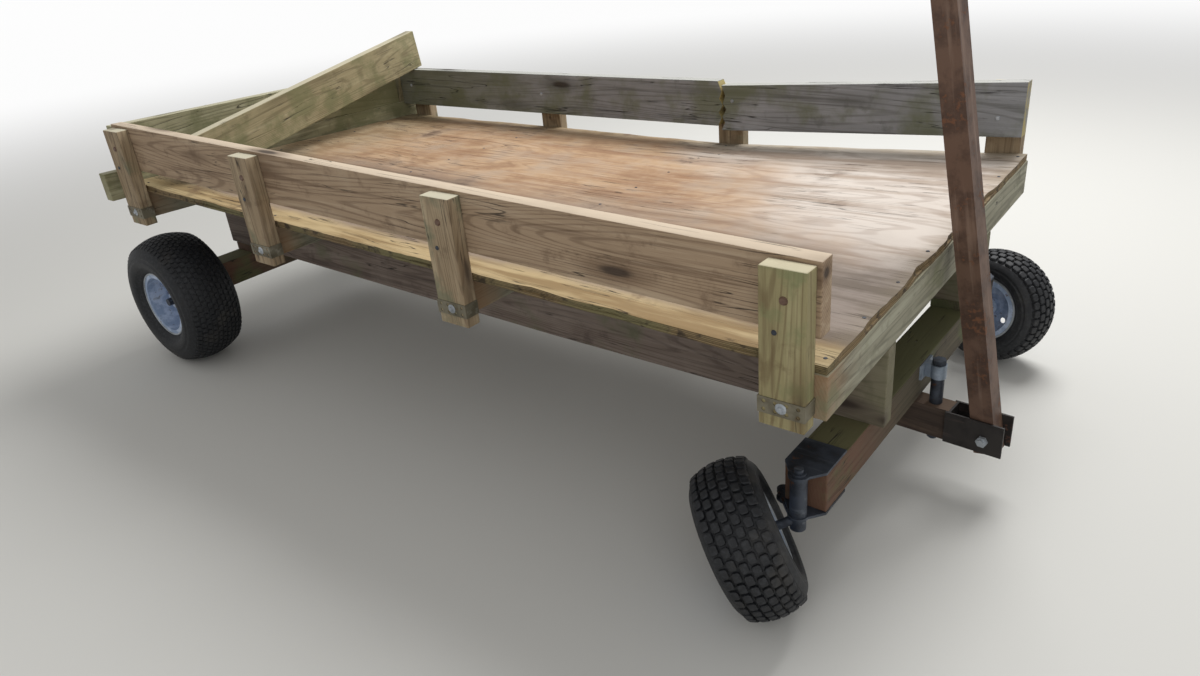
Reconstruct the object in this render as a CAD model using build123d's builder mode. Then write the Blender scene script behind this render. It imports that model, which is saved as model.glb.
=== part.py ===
# A home-made four-wheeled garden wagon: a plywood deck on wooden beams, stakes and side boards,
# two wooden axles, hinged front wheels, and a square steel drawbar that stands up against the deck.
# Millimetres. X points forward, Y to the left, and Z up from the ground. Right is the -Y side.

import os
from math import atan2, cos, hypot, radians, sin, tan

from build123d import *

# Deck
DECK_LENGTH = 2438
DECK_WIDTH = 1219
DECK_THICKNESS = 18
DECK_TOP = 605
TWIST = 25
SAG = 30

# Lumber sections: the thin way, and the wide way of two-by-fours, -sixes and -eights
THIN = 38
TWO_BY_FOUR = 89
TWO_BY_SIX = 140
TWO_BY_EIGHT = 184

# Stakes and side boards
STAKE_REAR_INSET = 66
STAKE_FRONT_INSET = 68
SECOND_STAKE_X = -440
THIRD_STAKE_X = 325
STAKE_ABOVE = 182
STAKE_BELOW = 123
SIDE_BOARD_GAP = 50
SIDE_BOARD_SHORT = 15
BREAK_BEHIND = 7
BREAK_GAP = 6
BREAK_LIFT = 13
STRAP_HEIGHT = 33
STRAP_RISE = 25
STRAP_THICKNESS = 1.6
STRAP_HOLE = 4

# Across the rear: a rail that sticks out at both sides, a board above it, and a leaning post
TAIL_RIGHT_TOP = 207
TAIL_LEFT_TOP = 175
TAIL_INSET = 62
RAIL_PAST_RIGHT = 70
RAIL_PAST_LEFT = 31
POST_HEIGHT = 227
POST_LEAN = 13.7

# The loose board: how far its ends lie from the deck's rear edge and long edges
LOOSE_LEFT_INSET = 58
LOOSE_LEFT_PAST = 6
LOOSE_LEFT_ABOVE = 8.5
LOOSE_RIGHT_INSET = 195
LOOSE_RIGHT_SHORT = 137

# Running gear
BEAM_Y = 306
FRONT_AXLE_INSET = 74
FRONT_AXLE_HALF = 530
REAR_AXLE_INSET = 69
REAR_AXLE_HALF = 480
CLOSE = 0.05
SEAT = 0.3

# Front knuckles and their yokes
KINGPIN_Y = 560
KINGPIN_R = 9.5
YOKE_PLATE = 6
YOKE_LENGTH = 90
YOKE_NOSE_R = 21
YOKE_TUBE_R = 17
STUB_REACH = 99
STUB_PAST = 62
STUB_DROP = 14
BOSS_R = 16
KINGPIN_PAST = 12
WASHER_R = 15
WASHER = 4
STEER_RIGHT = -51
STEER_LEFT = -13
SPLAY_RIGHT = 22
SPLAY_LEFT = 8

# Steering arms and tie rods
ARM_LENGTH = 100
ARM_TURN_RIGHT = 4
ARM_TURN_LEFT = 0
ARM_WIDTH = 28
ARM_TOP = 199
ARM_THICKNESS = 8
PIN_R = 5
PIN_HEAD_R = 10
PIN_HEAD = 5
PIN_PAST = 4
EYE_CLEARANCE = 3.6
ROD_WIDTH = 30
ROD_THICKNESS = 6
ROD_Z = (173, 182)

# Wheels
FRONT_TYRE_R = 165
FRONT_TYRE_WIDTH = 145
FRONT_RIM_R = 90
FRONT_HUB_R = 24
FRONT_LUG = 9
REAR_WHEEL_OUT = 105
REAR_TYRE_R = 224
REAR_TYRE_WIDTH = 200
REAR_RIM_R = 111
REAR_HUB_R = 28
REAR_LUG = 5
BEAD_DEPTH = 13
BEAD_SHARE = 0.74
SHOULDER_SHARE = 0.84
CROWN_DROP = 0.09
LUG_ROOT = 4
LUG_SHARE = 0.62
RIM_WALL = 3
HUB_SHARE = 0.55
DISC_HOLE = 8
REAR_STUB_R = 12.5
REAR_STUB_PAST = 60
REAR_PLATE = 8
REAR_PLATE_DROP = 32

# King bolt and the bushing that carries it on the front axle's face
KING_OUT = 32.5
BUSHING_R = 18
BUSHING_LOW = 262
BUSHING_HIGH = 296
BUSHING_PLATE = 6
BUSHING_PLATE_WIDTH = 70
BUSHING_WEB = 22
NUT_R = 16
NUT = 12
KING_PAST = 18

# Tongue and fork
TONGUE_YAW = -4
TONGUE_TOP = 195
TONGUE_HEIGHT = 80
LEVER_TOP = 172
LEVER_STEP = 62
LEVER_LENGTH = 150
LEVER_TAIL = 236
LEVER_NUT_R = 10
LEVER_NUT = 8
LEVER_RISE = 24
FORK_LENGTH = 168
FORK_GAP = 54
FORK_BACK = 36
CHEEK = 5
WEB_X = 41

# Drawbar
DRAWBAR_BOLT_X = 125
DRAWBAR_BOLT_Z = 148
DRAWBAR_BOLT_R = 8
DRAWBAR_BOLT_PAST = 14
DRAWBAR_HEAD_R = 13
DRAWBAR_HEAD = 9
BAR = 51
BAR_WALL = 3
BAR_LEAN = 10.6
BAR_LENGTH = 1275
BAR_FOOT = 38
HITCH_R = 8.5
HITCH_INSET = 45

HALF_LENGTH = DECK_LENGTH / 2
HALF_WIDTH = DECK_WIDTH / 2
JOIST_BOTTOM = -DECK_THICKNESS - TWO_BY_FOUR
BEAM_BOTTOM = JOIST_BOTTOM - TWO_BY_EIGHT
STAKE_X = (
    STAKE_REAR_INSET - HALF_LENGTH,
    SECOND_STAKE_X,
    THIRD_STAKE_X,
    HALF_LENGTH - STAKE_FRONT_INSET,
)

pieces = {}


def keep(label, part):
    """Takes a finished piece under its name."""
    part.label = label
    pieces[label] = part


def edge_height(x, side):
    """Deck top at one long edge: the deck is twisted, and its left edge sags at the third stake."""
    height = DECK_TOP + side * TWIST * x / HALF_LENGTH
    if side < 0:
        return height
    if x < THIRD_STAKE_X:
        return height - SAG * (HALF_LENGTH + x) / (HALF_LENGTH + THIRD_STAKE_X)
    return height - SAG * (HALF_LENGTH - x) / (HALF_LENGTH - THIRD_STAKE_X)


def deck_height(x, y):
    """Deck top anywhere: straight across from one long edge to the other."""
    share = 0.5 + y / DECK_WIDTH
    return edge_height(x, -1) * (1 - share) + edge_height(x, 1) * share


def deck_board(rear, front, right, left, low, high):
    """A board that lies along the deck, with its faces low and high above the deck's top."""
    stations = [rear, front]
    if rear < THIRD_STAKE_X < front:
        stations.insert(1, THIRD_STAKE_X)
    with BuildPart() as board:
        for x in stations:
            with BuildSketch(Plane(origin=(x, 0, 0), x_dir=(0, 1, 0), z_dir=(1, 0, 0))):
                with BuildLine():
                    Polyline(
                        (right, deck_height(x, right) + low),
                        (left, deck_height(x, left) + low),
                        (left, deck_height(x, left) + high),
                        (right, deck_height(x, right) + high),
                        close=True,
                    )
                make_face()
        loft(ruled=True)
    return board.part


def turned(x, y, angle):
    """A point of the plan, turned about the vertical."""
    c = cos(radians(angle))
    s = sin(radians(angle))
    return (c * x - s * y, s * x + c * y)


# The deck: one sheet of plywood
keep("deck_sheet", deck_board(-HALF_LENGTH, HALF_LENGTH, -HALF_WIDTH, HALF_WIDTH, -DECK_THICKNESS, 0))

# Four joists across, on edge under the deck, the front one flush with the deck's front edge
joist_x = [STAKE_X[0], STAKE_X[1], STAKE_X[2], HALF_LENGTH - THIN / 2]
for number, x in enumerate(joist_x, 1):
    joist = deck_board(
        x - THIN / 2, x + THIN / 2, -HALF_WIDTH, HALF_WIDTH, JOIST_BOTTOM, -DECK_THICKNESS
    )
    keep(f"joist_{number}", joist)

# Two beams along, on edge under the joists
for name, side in (("right", -1), ("left", 1)):
    inner = side * BEAM_Y - THIN / 2
    beam = deck_board(-HALF_LENGTH, HALF_LENGTH, inner, inner + THIN, BEAM_BOTTOM, JOIST_BOTTOM)
    keep(f"beam_{name}", beam)

# Eight stakes outside the deck's edges
for name, side in (("right", -1), ("left", 1)):
    for number, x in enumerate(STAKE_X, 1):
        foot = edge_height(x, side) - STAKE_BELOW
        with BuildPart(Plane(origin=(x, side * (HALF_WIDTH + THIN / 2), foot))) as stake:
            Box(
                TWO_BY_FOUR,
                THIN,
                STAKE_ABOVE + STAKE_BELOW,
                align=(Align.CENTER, Align.CENTER, Align.MIN),
            )
        keep(f"stake_{name}_{number}", stake.part)

# A perforated strap bent round the foot of each stake
strap_reach = THIN + STRAP_THICKNESS
for name, side in (("right", -1), ("left", 1)):
    with BuildPart() as straps:
        for x in STAKE_X:
            low = edge_height(x, side) - STAKE_BELOW + STRAP_RISE
            with BuildSketch(Plane(origin=(x, side * HALF_WIDTH, low))):
                with Locations((0, side * strap_reach / 2)):
                    Rectangle(TWO_BY_FOUR + 2 * STRAP_THICKNESS, strap_reach)
                with Locations((0, side * THIN / 2)):
                    Rectangle(TWO_BY_FOUR, THIN, mode=Mode.SUBTRACT)
            extrude(amount=STRAP_HEIGHT)
            outside = (x, side * (HALF_WIDTH + THIN), low + STRAP_HEIGHT / 2)
            with BuildSketch(Plane(origin=outside, x_dir=(1, 0, 0), z_dir=(0, side, 0))):
                with GridLocations(TWO_BY_FOUR / 4, STRAP_HEIGHT / 2, 4, 2):
                    Circle(STRAP_HOLE)
            extrude(amount=STRAP_THICKNESS * 2, mode=Mode.SUBTRACT)
    keep(f"straps_{name}", straps.part)

# Side boards inside the stakes. The right one is whole, and the left one is snapped at its third stake
side_low = SIDE_BOARD_GAP
side_high = SIDE_BOARD_GAP + TWO_BY_SIX
side_front = HALF_LENGTH - SIDE_BOARD_SHORT
keep(
    "side_board_right",
    deck_board(-HALF_LENGTH, side_front, -HALF_WIDTH, THIN - HALF_WIDTH, side_low, side_high),
)
# The snap runs up the board in teeth: share of the board's height, and how far forward the wood reaches
snap = [(0.0, -9), (0.18, 4), (0.30, -6), (0.47, 9), (0.60, -3), (0.78, 6), (1.0, -7)]
break_x = THIRD_STAKE_X - BREAK_BEHIND
left_outline = Plane(origin=(0, HALF_WIDTH, 0), x_dir=(1, 0, 0), z_dir=(0, -1, 0))
for name, end, gap, lift in (
    ("rear", -HALF_LENGTH, -BREAK_GAP, BREAK_LIFT),
    ("front", side_front, BREAK_GAP, 0),
):
    low_end = edge_height(end, 1) + side_low
    low_break = edge_height(break_x, 1) + side_low + lift
    torn = [(break_x + gap + reach, low_break + share * TWO_BY_SIX) for share, reach in snap]
    with BuildPart() as board:
        with BuildSketch(left_outline):
            with BuildLine():
                Polyline((end, low_end + TWO_BY_SIX), (end, low_end), *torn, close=True)
            make_face()
        extrude(amount=THIN)
    keep(f"side_board_left_{name}", board.part)

# Across the rear: a rail on the deck's rear edge that sticks out at both sides, and the tail board above
tail_left = HALF_WIDTH - TAIL_INSET
tail_slope = (TAIL_LEFT_TOP - TAIL_RIGHT_TOP) / (tail_left + HALF_WIDTH)
rear_face = Plane(origin=(-HALF_LENGTH - THIN, 0, DECK_TOP), x_dir=(0, 1, 0), z_dir=(1, 0, 0))


def tail_height(y):
    """Top of the tail board above the deck's mean height."""
    return TAIL_RIGHT_TOP + tail_slope * (y + HALF_WIDTH)


rail_left = HALF_WIDTH + RAIL_PAST_LEFT
for name, right, left, drop, height in (
    ("tail_board", -HALF_WIDTH, tail_left, 0, TWO_BY_SIX),
    ("rear_rail", -HALF_WIDTH - RAIL_PAST_RIGHT, rail_left, TWO_BY_SIX, TWO_BY_FOUR),
):
    with BuildPart() as board:
        with BuildSketch(rear_face):
            with BuildLine():
                Polyline(
                    (right, tail_height(right) - drop),
                    (left, tail_height(left) - drop),
                    (left, tail_height(left) - drop - height),
                    (right, tail_height(right) - drop - height),
                    close=True,
                )
            make_face()
        extrude(amount=THIN)
    keep(name, board.part)

# A tall post on the rail's left end, beside the tail board, leaning outward
lean = radians(POST_LEAN)
post_y = rail_left - TWO_BY_FOUR / 2 / cos(lean)
post_x = -HALF_LENGTH - THIN / 2
rail_top = DECK_TOP + tail_height(post_y - TWO_BY_FOUR / 2) - TWO_BY_SIX + SEAT
post_foot = (post_x, post_y, rail_top)
post_up = (0, sin(lean), cos(lean))
with BuildPart(Plane(origin=post_foot, x_dir=(1, 0, 0), z_dir=post_up)) as post:
    Box(THIN, TWO_BY_FOUR, 2 * POST_HEIGHT)
    with BuildSketch(Plane(origin=post_foot)):
        Rectangle(THIN * 2, TWO_BY_FOUR * 4)
    extrude(amount=-2 * POST_HEIGHT, mode=Mode.SUBTRACT)
keep("corner_post", post.part)

# A loose board on edge: its right end lies on the deck and its left end on the left side board
loose_left = (LOOSE_LEFT_INSET - HALF_LENGTH, HALF_WIDTH + LOOSE_LEFT_PAST)
loose_right = (LOOSE_RIGHT_INSET - HALF_LENGTH, LOOSE_RIGHT_SHORT - HALF_WIDTH)
loose_low = deck_height(*loose_right) + SEAT
loose_high = edge_height(loose_left[0], 1) + side_high + LOOSE_LEFT_ABOVE
loose_run = hypot(loose_left[0] - loose_right[0], loose_left[1] - loose_right[1])
loose_rise = atan2(loose_high - loose_low, loose_run)
loose_yaw = atan2(loose_left[1] - loose_right[1], loose_left[0] - loose_right[0])
loose_along = (cos(loose_yaw) * cos(loose_rise), sin(loose_yaw) * cos(loose_rise), sin(loose_rise))
loose_across = (sin(loose_yaw), -cos(loose_yaw), 0)
with BuildPart() as loose_board:
    with BuildSketch(Plane(origin=(*loose_right, loose_low), x_dir=loose_along, z_dir=loose_across)):
        Rectangle(loose_run / cos(loose_rise), TWO_BY_SIX, align=(Align.MIN, Align.MIN))
    extrude(amount=THIN)
keep("loose_board", loose_board.part)


def beam_underside(x, y):
    """Underside of a beam, which follows the twisted deck."""
    return deck_height(x, y) + BEAM_BOTTOM


# Two level wooden axles under the beams. Each touches the beam where the deck is low, and has packing
# under the other one
front_axle_x = HALF_LENGTH - FRONT_AXLE_INSET
rear_axle_x = REAR_AXLE_INSET - HALF_LENGTH
half_axle = TWO_BY_FOUR / 2
beam_edges = (BEAM_Y - THIN / 2, BEAM_Y + THIN / 2)
seats = [
    beam_underside(x + step, side * y)
    for x, side in ((front_axle_x, -1), (rear_axle_x, 1))
    for step in (-half_axle, half_axle)
    for y in beam_edges
]
AXLE_TOP = min(seats) - SEAT
AXLE_BOTTOM = AXLE_TOP - TWO_BY_FOUR
for name, x, half, side_name, side in (
    ("front", front_axle_x, FRONT_AXLE_HALF, "left", 1),
    ("rear", rear_axle_x, REAR_AXLE_HALF, "right", -1),
):
    with BuildPart(Plane(origin=(x, 0, AXLE_BOTTOM))) as axle:
        Box(
            TWO_BY_FOUR,
            2 * half,
            TWO_BY_FOUR,
            align=(Align.CENTER, Align.CENTER, Align.MIN),
        )
    keep(f"{name}_axle", axle.part)
    inner = side * BEAM_Y - THIN / 2
    with BuildPart() as packing:
        for station in (x - half_axle, x + half_axle):
            with BuildSketch(Plane(origin=(station, 0, 0), x_dir=(0, 1, 0), z_dir=(1, 0, 0))):
                with BuildLine():
                    Polyline(
                        (inner, AXLE_TOP),
                        (inner + THIN, AXLE_TOP),
                        (inner + THIN, beam_underside(station, inner + THIN)),
                        (inner, beam_underside(station, inner)),
                        close=True,
                    )
                make_face()
        loft(ruled=True)
    keep(f"packing_{name}_{side_name}", packing.part)


def tyre(radius, width, rim, lug, rows, around):
    """A tyre about the Z axis: bulging walls down to its bead, a rounded crown, and staggered rows of lugs.
    Each row has its two edges as shares of the tread's half width, and its shift as a share of the pitch."""
    half = width / 2
    bead = BEAD_SHARE * half
    seat = rim - BEAD_DEPTH
    crown = radius - lug
    tread = SHOULDER_SHARE * half
    shoulder = crown - CROWN_DROP * radius
    middle = (rim + shoulder) / 2
    pitch = 360 / around
    with BuildPart() as ring:
        with BuildSketch(Plane.XZ):
            with BuildLine():
                Polyline((rim, -bead), (seat, -bead), (seat, bead), (rim, bead))
                ThreePointArc((rim, bead), (middle, half), (shoulder, tread))
                ThreePointArc((shoulder, tread), (crown, 0), (shoulder, -tread))
                ThreePointArc((shoulder, -tread), (middle, -half), (rim, -bead))
            make_face()
        revolve(axis=Axis.Z)
        lugs = []
        for low, high, shift in rows:
            with BuildPart() as block:
                with BuildSketch(Plane.XZ):
                    with BuildLine():
                        at_low = crown - CROWN_DROP * radius * low**2
                        at_high = crown - CROWN_DROP * radius * high**2
                        Polyline(
                            (at_low - LUG_ROOT, low * tread),
                            (at_low + lug, low * tread),
                            (at_high + lug, high * tread),
                            (at_high - LUG_ROOT, high * tread),
                            close=True,
                        )
                    make_face()
                revolve(axis=Axis.Z, revolution_arc=pitch * LUG_SHARE)
            for number in range(around):
                lugs.append(block.part.rotate(Axis.Z, (number + shift - LUG_SHARE / 2) * pitch))
        add(lugs)
    return ring.part


def rim(radius, width, bore, hub):
    """A pressed steel rim about the Z axis: flanges, a barrel, a dished disc with four holes, and a hub."""
    edge = BEAD_SHARE * width / 2
    seat = radius - BEAD_DEPTH
    barrel = seat - RIM_WALL
    hub_half = HUB_SHARE * edge
    dish = RIM_WALL * 3
    with BuildPart() as wheel:
        with BuildSketch(Plane.XZ):
            with BuildLine():
                Polyline(
                    (radius, -edge - RIM_WALL),
                    (barrel, -edge - RIM_WALL),
                    (barrel, -dish),
                    (hub + dish, 0),
                    (hub, -dish),
                    (hub, -hub_half),
                    (bore, -hub_half),
                    (bore, hub_half),
                    (hub, hub_half),
                    (hub, -dish + RIM_WALL),
                    (hub + dish, RIM_WALL),
                    (barrel, -dish + RIM_WALL),
                    (barrel, edge + RIM_WALL),
                    (radius, edge + RIM_WALL),
                    (radius, edge),
                    (seat, edge),
                    (seat, -edge),
                    (radius, -edge),
                    close=True,
                )
            make_face()
        revolve(axis=Axis.Z)
        with BuildSketch(Plane.XY.offset(-2 * dish)):
            with PolarLocations((hub + dish + barrel) / 2, 4, start_angle=45):
                Circle(DISC_HOLE)
        extrude(amount=4 * dish, mode=Mode.SUBTRACT)
    return wheel.part


def mounted(part, centre, outward):
    """A wheel piece on its stub, with its first lug at the ground."""
    return part.moved(Plane(origin=centre, x_dir=(0, 0, -1), z_dir=outward).location)


# Front steering: yokes on the axle ends, knuckles on upright kingpins, and the two front wheels
kingpin_bore = KINGPIN_R + CLOSE
king_x = front_axle_x + half_axle + KING_OUT
lever_end = turned(-LEVER_LENGTH, 0, TONGUE_YAW)
lever_point = (king_x + lever_end[0], lever_end[1])
nose = KINGPIN_Y - FRONT_AXLE_HALF
front_tyre = tyre(
    FRONT_TYRE_R,
    FRONT_TYRE_WIDTH,
    FRONT_RIM_R,
    FRONT_LUG,
    ((-1.0, -0.56, 0.0), (-0.44, -0.04, 0.5), (0.04, 0.44, 0.0), (0.56, 1.0, 0.5)),
    16,
)
front_rim = rim(FRONT_RIM_R, FRONT_TYRE_WIDTH, kingpin_bore, FRONT_HUB_R)
yoke_low = AXLE_BOTTOM - YOKE_PLATE
for name, side, steer, splay, arm_turn, rod_z in (
    ("right", -1, STEER_RIGHT, radians(SPLAY_RIGHT), ARM_TURN_RIGHT, ROD_Z[0]),
    ("left", 1, STEER_LEFT, radians(SPLAY_LEFT), ARM_TURN_LEFT, ROD_Z[1]),
):
    pin = (front_axle_x, side * KINGPIN_Y)
    with BuildPart() as yoke:
        for low in (yoke_low, AXLE_TOP):
            with BuildSketch(Plane(origin=(*pin, low))):
                with Locations((0, -side * (nose + YOKE_LENGTH / 2))):
                    Rectangle(TWO_BY_FOUR, YOKE_LENGTH)
                with BuildLine():
                    Polyline(
                        (-half_axle, -side * nose),
                        (half_axle, -side * nose),
                        (YOKE_NOSE_R, 0),
                        (-YOKE_NOSE_R, 0),
                        close=True,
                    )
                make_face()
                Circle(YOKE_NOSE_R)
                Circle(kingpin_bore, mode=Mode.SUBTRACT)
            extrude(amount=YOKE_PLATE)
        with BuildSketch(Plane(origin=(*pin, AXLE_BOTTOM))):
            Circle(YOKE_TUBE_R)
            Circle(kingpin_bore, mode=Mode.SUBTRACT)
        extrude(amount=TWO_BY_FOUR)
    keep(f"front_yoke_{name}", yoke.part)

    # The stub slopes down to the wheel, so that the wheel's top leans out
    away = turned(0, side, steer)
    outward = (away[0] * cos(splay), away[1] * cos(splay), -sin(splay))
    hub_height = -mounted(front_tyre, (0, 0, 0), outward).bounding_box().min.Z
    print("hub height", name, hub_height)
    root = hub_height + STUB_REACH * tan(splay)
    stub_low = min(root, ARM_TOP - ARM_THICKNESS) - STUB_DROP
    arm = turned(-ARM_LENGTH, 0, steer + arm_turn)
    arm_end = (pin[0] + arm[0], pin[1] + arm[1])
    with BuildPart() as knuckle:
        with BuildSketch(Plane(origin=(*pin, root), z_dir=outward)):
            Circle(KINGPIN_R)
        extrude(amount=STUB_REACH / cos(splay) + STUB_PAST)
        split(bisect_by=Plane(origin=(*pin, yoke_low - SEAT)), keep=Keep.BOTTOM)
        with BuildSketch(Plane(origin=(*pin, stub_low))):
            Circle(KINGPIN_R)
        extrude(amount=AXLE_TOP + YOKE_PLATE + KINGPIN_PAST - stub_low)
        with BuildSketch(Plane(origin=(*pin, stub_low))):
            Circle(BOSS_R)
        extrude(amount=yoke_low - SEAT - stub_low)
        with BuildSketch(Plane(origin=(*pin, AXLE_TOP + YOKE_PLATE + SEAT))):
            Circle(WASHER_R)
        extrude(amount=WASHER)
        arm_way = (*turned(1, 0, steer + arm_turn), 0)
        with BuildSketch(Plane(origin=(*pin, ARM_TOP - ARM_THICKNESS), x_dir=arm_way, z_dir=(0, 0, 1))):
            with Locations((-ARM_LENGTH / 2, 0)):
                SlotCenterToCenter(ARM_LENGTH, ARM_WIDTH)
        extrude(amount=ARM_THICKNESS)
        with BuildSketch(Plane(origin=(*arm_end, rod_z - 1 - PIN_HEAD))):
            Circle(PIN_R)
        extrude(amount=ARM_TOP + PIN_PAST + 1 + PIN_HEAD - rod_z)
        with BuildSketch(Plane(origin=(*arm_end, rod_z - 1 - PIN_HEAD))):
            Circle(PIN_HEAD_R)
        extrude(amount=PIN_HEAD)
    keep(f"knuckle_{name}", knuckle.part)

    centre = (pin[0] + STUB_REACH * away[0], pin[1] + STUB_REACH * away[1], hub_height)
    keep(f"tyre_front_{name}", mounted(front_tyre, centre, outward))
    keep(f"rim_front_{name}", mounted(front_rim, centre, outward))

    rod_length = hypot(arm_end[0] - lever_point[0], arm_end[1] - lever_point[1])
    rod_way = ((arm_end[0] - lever_point[0]) / rod_length, (arm_end[1] - lever_point[1]) / rod_length, 0)
    with BuildPart() as tie_rod:
        with BuildSketch(Plane(origin=(*lever_point, rod_z), x_dir=rod_way, z_dir=(0, 0, 1))):
            with Locations((rod_length / 2, 0)):
                SlotCenterToCenter(rod_length, ROD_WIDTH)
            Circle(PIN_R + CLOSE, mode=Mode.SUBTRACT)
            with Locations((rod_length, 0)):
                Circle(PIN_R + EYE_CLEARANCE, mode=Mode.SUBTRACT)
        extrude(amount=ROD_THICKNESS)
    keep(f"tie_rod_{name}", tie_rod.part)

# Rear wheels on fixed stubs, each welded to a plate on the axle's end
rear_tyre = tyre(
    REAR_TYRE_R,
    REAR_TYRE_WIDTH,
    REAR_RIM_R,
    REAR_LUG,
    ((-1.0, -0.4, 0.0), (-0.28, 0.28, 0.5), (0.4, 1.0, 0.0)),
    22,
)
rear_rim = rim(REAR_RIM_R, REAR_TYRE_WIDTH, REAR_STUB_R + CLOSE, REAR_HUB_R)
plate_low = REAR_TYRE_R - REAR_PLATE_DROP
for name, side in (("right", -1), ("left", 1)):
    outward = (0, side, 0)
    axle_end = side * REAR_AXLE_HALF
    with BuildPart() as bracket:
        with BuildSketch(Plane(origin=(rear_axle_x, axle_end, plate_low), x_dir=(side, 0, 0), z_dir=outward)):
            Rectangle(TWO_BY_FOUR, AXLE_TOP - plate_low, align=(Align.CENTER, Align.MAX))
        extrude(amount=REAR_PLATE)
        with BuildSketch(Plane(origin=(rear_axle_x, axle_end, REAR_TYRE_R), z_dir=outward)):
            Circle(REAR_STUB_R)
        extrude(amount=REAR_WHEEL_OUT + REAR_STUB_PAST)
    keep(f"rear_stub_{name}", bracket.part)
    centre = (rear_axle_x, side * (REAR_AXLE_HALF + REAR_WHEEL_OUT), REAR_TYRE_R)
    keep(f"tyre_rear_{name}", mounted(rear_tyre, centre, outward))
    keep(f"rim_rear_{name}", mounted(rear_rim, centre, outward))

# The tongue turns on the king bolt, in a steel bushing on the front axle's face
axle_face = front_axle_x + half_axle
with BuildPart() as bushing:
    with BuildSketch(Plane(origin=(king_x, 0, BUSHING_LOW))):
        Circle(BUSHING_R)
    extrude(amount=BUSHING_HIGH - BUSHING_LOW)
    with BuildSketch(Plane(origin=(axle_face, 0, BUSHING_LOW))):
        with Locations((BUSHING_PLATE / 2, 0)):
            Rectangle(BUSHING_PLATE, BUSHING_PLATE_WIDTH)
        with Locations((KING_OUT / 2, 0)):
            Rectangle(KING_OUT, BUSHING_WEB)
    extrude(amount=BUSHING_HIGH - BUSHING_LOW)
    with BuildSketch(Plane(origin=(king_x, 0, BUSHING_LOW))):
        Circle(kingpin_bore)
    extrude(amount=BUSHING_HIGH - BUSHING_LOW, mode=Mode.SUBTRACT)
keep("king_bushing", bushing.part)

tongue_bottom = TONGUE_TOP - TONGUE_HEIGHT
with BuildPart() as king_bolt:
    for low, high, radius in (
        (tongue_bottom - KING_PAST, BUSHING_HIGH + SEAT + NUT, KINGPIN_R),
        (TONGUE_TOP + SEAT, BUSHING_LOW - SEAT, WASHER_R),
    ):
        with BuildSketch(Plane(origin=(king_x, 0, low))):
            Circle(radius)
        extrude(amount=high - low)
    for low in (BUSHING_HIGH + SEAT, tongue_bottom - SEAT - NUT):
        with BuildSketch(Plane(origin=(king_x, 0, low))):
            RegularPolygon(NUT_R, 6)
        extrude(amount=NUT)
keep("king_bolt", king_bolt.part)

# Tongue pieces share a frame that starts at the king bolt and points along the tongue
along = (*turned(1, 0, TONGUE_YAW), 0)
left_of_tongue = (*turned(0, 1, TONGUE_YAW), 0)
tongue_frame = Plane(origin=(king_x, 0, tongue_bottom), x_dir=along, z_dir=(0, 0, 1))
tongue_side = Plane(
    origin=(king_x, 0, tongue_bottom), x_dir=along, z_dir=(-left_of_tongue[0], -left_of_tongue[1], 0)
)
lever_height = LEVER_TOP - tongue_bottom
with BuildPart() as block:
    with BuildSketch(tongue_side):
        with BuildLine():
            Polyline(
                (-LEVER_TAIL, 0),
                (WEB_X, 0),
                (WEB_X, TONGUE_HEIGHT),
                (-LEVER_STEP, TONGUE_HEIGHT),
                (-LEVER_STEP, lever_height),
                (-LEVER_TAIL, lever_height),
                close=True,
            )
        make_face()
    extrude(amount=BAR / 2, both=True)
    with BuildSketch(tongue_frame):
        Circle(kingpin_bore)
        with Locations((-LEVER_LENGTH, 0)):
            Circle(PIN_R + CLOSE)
    extrude(amount=TONGUE_HEIGHT, mode=Mode.SUBTRACT)
keep("tongue_block", block.part)

with BuildPart() as lever_bolt:
    for low, high, radius in (
        (-SEAT - LEVER_NUT, lever_height + LEVER_RISE, PIN_R),
        (-SEAT - LEVER_NUT, -SEAT, LEVER_NUT_R),
        (lever_height + LEVER_RISE - LEVER_NUT + 1, lever_height + LEVER_RISE, LEVER_NUT_R),
    ):
        with BuildSketch(tongue_frame.offset(low)):
            with Locations((-LEVER_LENGTH, 0)):
                if radius == PIN_R:
                    Circle(radius)
                else:
                    RegularPolygon(radius, 6)
        extrude(amount=high - low)
keep("lever_bolt", lever_bolt.part)

with BuildPart() as web:
    with BuildSketch(tongue_frame):
        with Locations((WEB_X + CHEEK / 2, 0)):
            Rectangle(CHEEK, FORK_GAP)
    extrude(amount=TONGUE_HEIGHT)
keep("fork_web", web.part)

for name, side in (("right", -1), ("left", 1)):
    with BuildPart() as cheek:
        with BuildSketch(tongue_side.offset(-side * FORK_GAP / 2)):
            with Locations(((FORK_BACK + FORK_LENGTH) / 2, TONGUE_HEIGHT / 2)):
                Rectangle(FORK_LENGTH - FORK_BACK, TONGUE_HEIGHT)
            with Locations((DRAWBAR_BOLT_X, DRAWBAR_BOLT_Z - tongue_bottom)):
                Circle(DRAWBAR_BOLT_R + CLOSE, mode=Mode.SUBTRACT)
        extrude(amount=-side * CHEEK)
    keep(f"fork_cheek_{name}", cheek.part)

bolt_point = (king_x + along[0] * DRAWBAR_BOLT_X, along[1] * DRAWBAR_BOLT_X, DRAWBAR_BOLT_Z)
bolt_frame = Plane(origin=bolt_point, x_dir=along, z_dir=left_of_tongue)
fork_outer = FORK_GAP / 2 + CHEEK
with BuildPart() as drawbar_bolt:
    with BuildSketch(bolt_frame):
        Circle(DRAWBAR_BOLT_R)
    extrude(amount=fork_outer + DRAWBAR_BOLT_PAST, both=True)
    for offset in (fork_outer + SEAT, -fork_outer - SEAT - DRAWBAR_HEAD):
        with BuildSketch(bolt_frame.offset(offset)):
            RegularPolygon(DRAWBAR_HEAD_R, 6)
        extrude(amount=DRAWBAR_HEAD)
keep("drawbar_bolt", drawbar_bolt.part)

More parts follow.
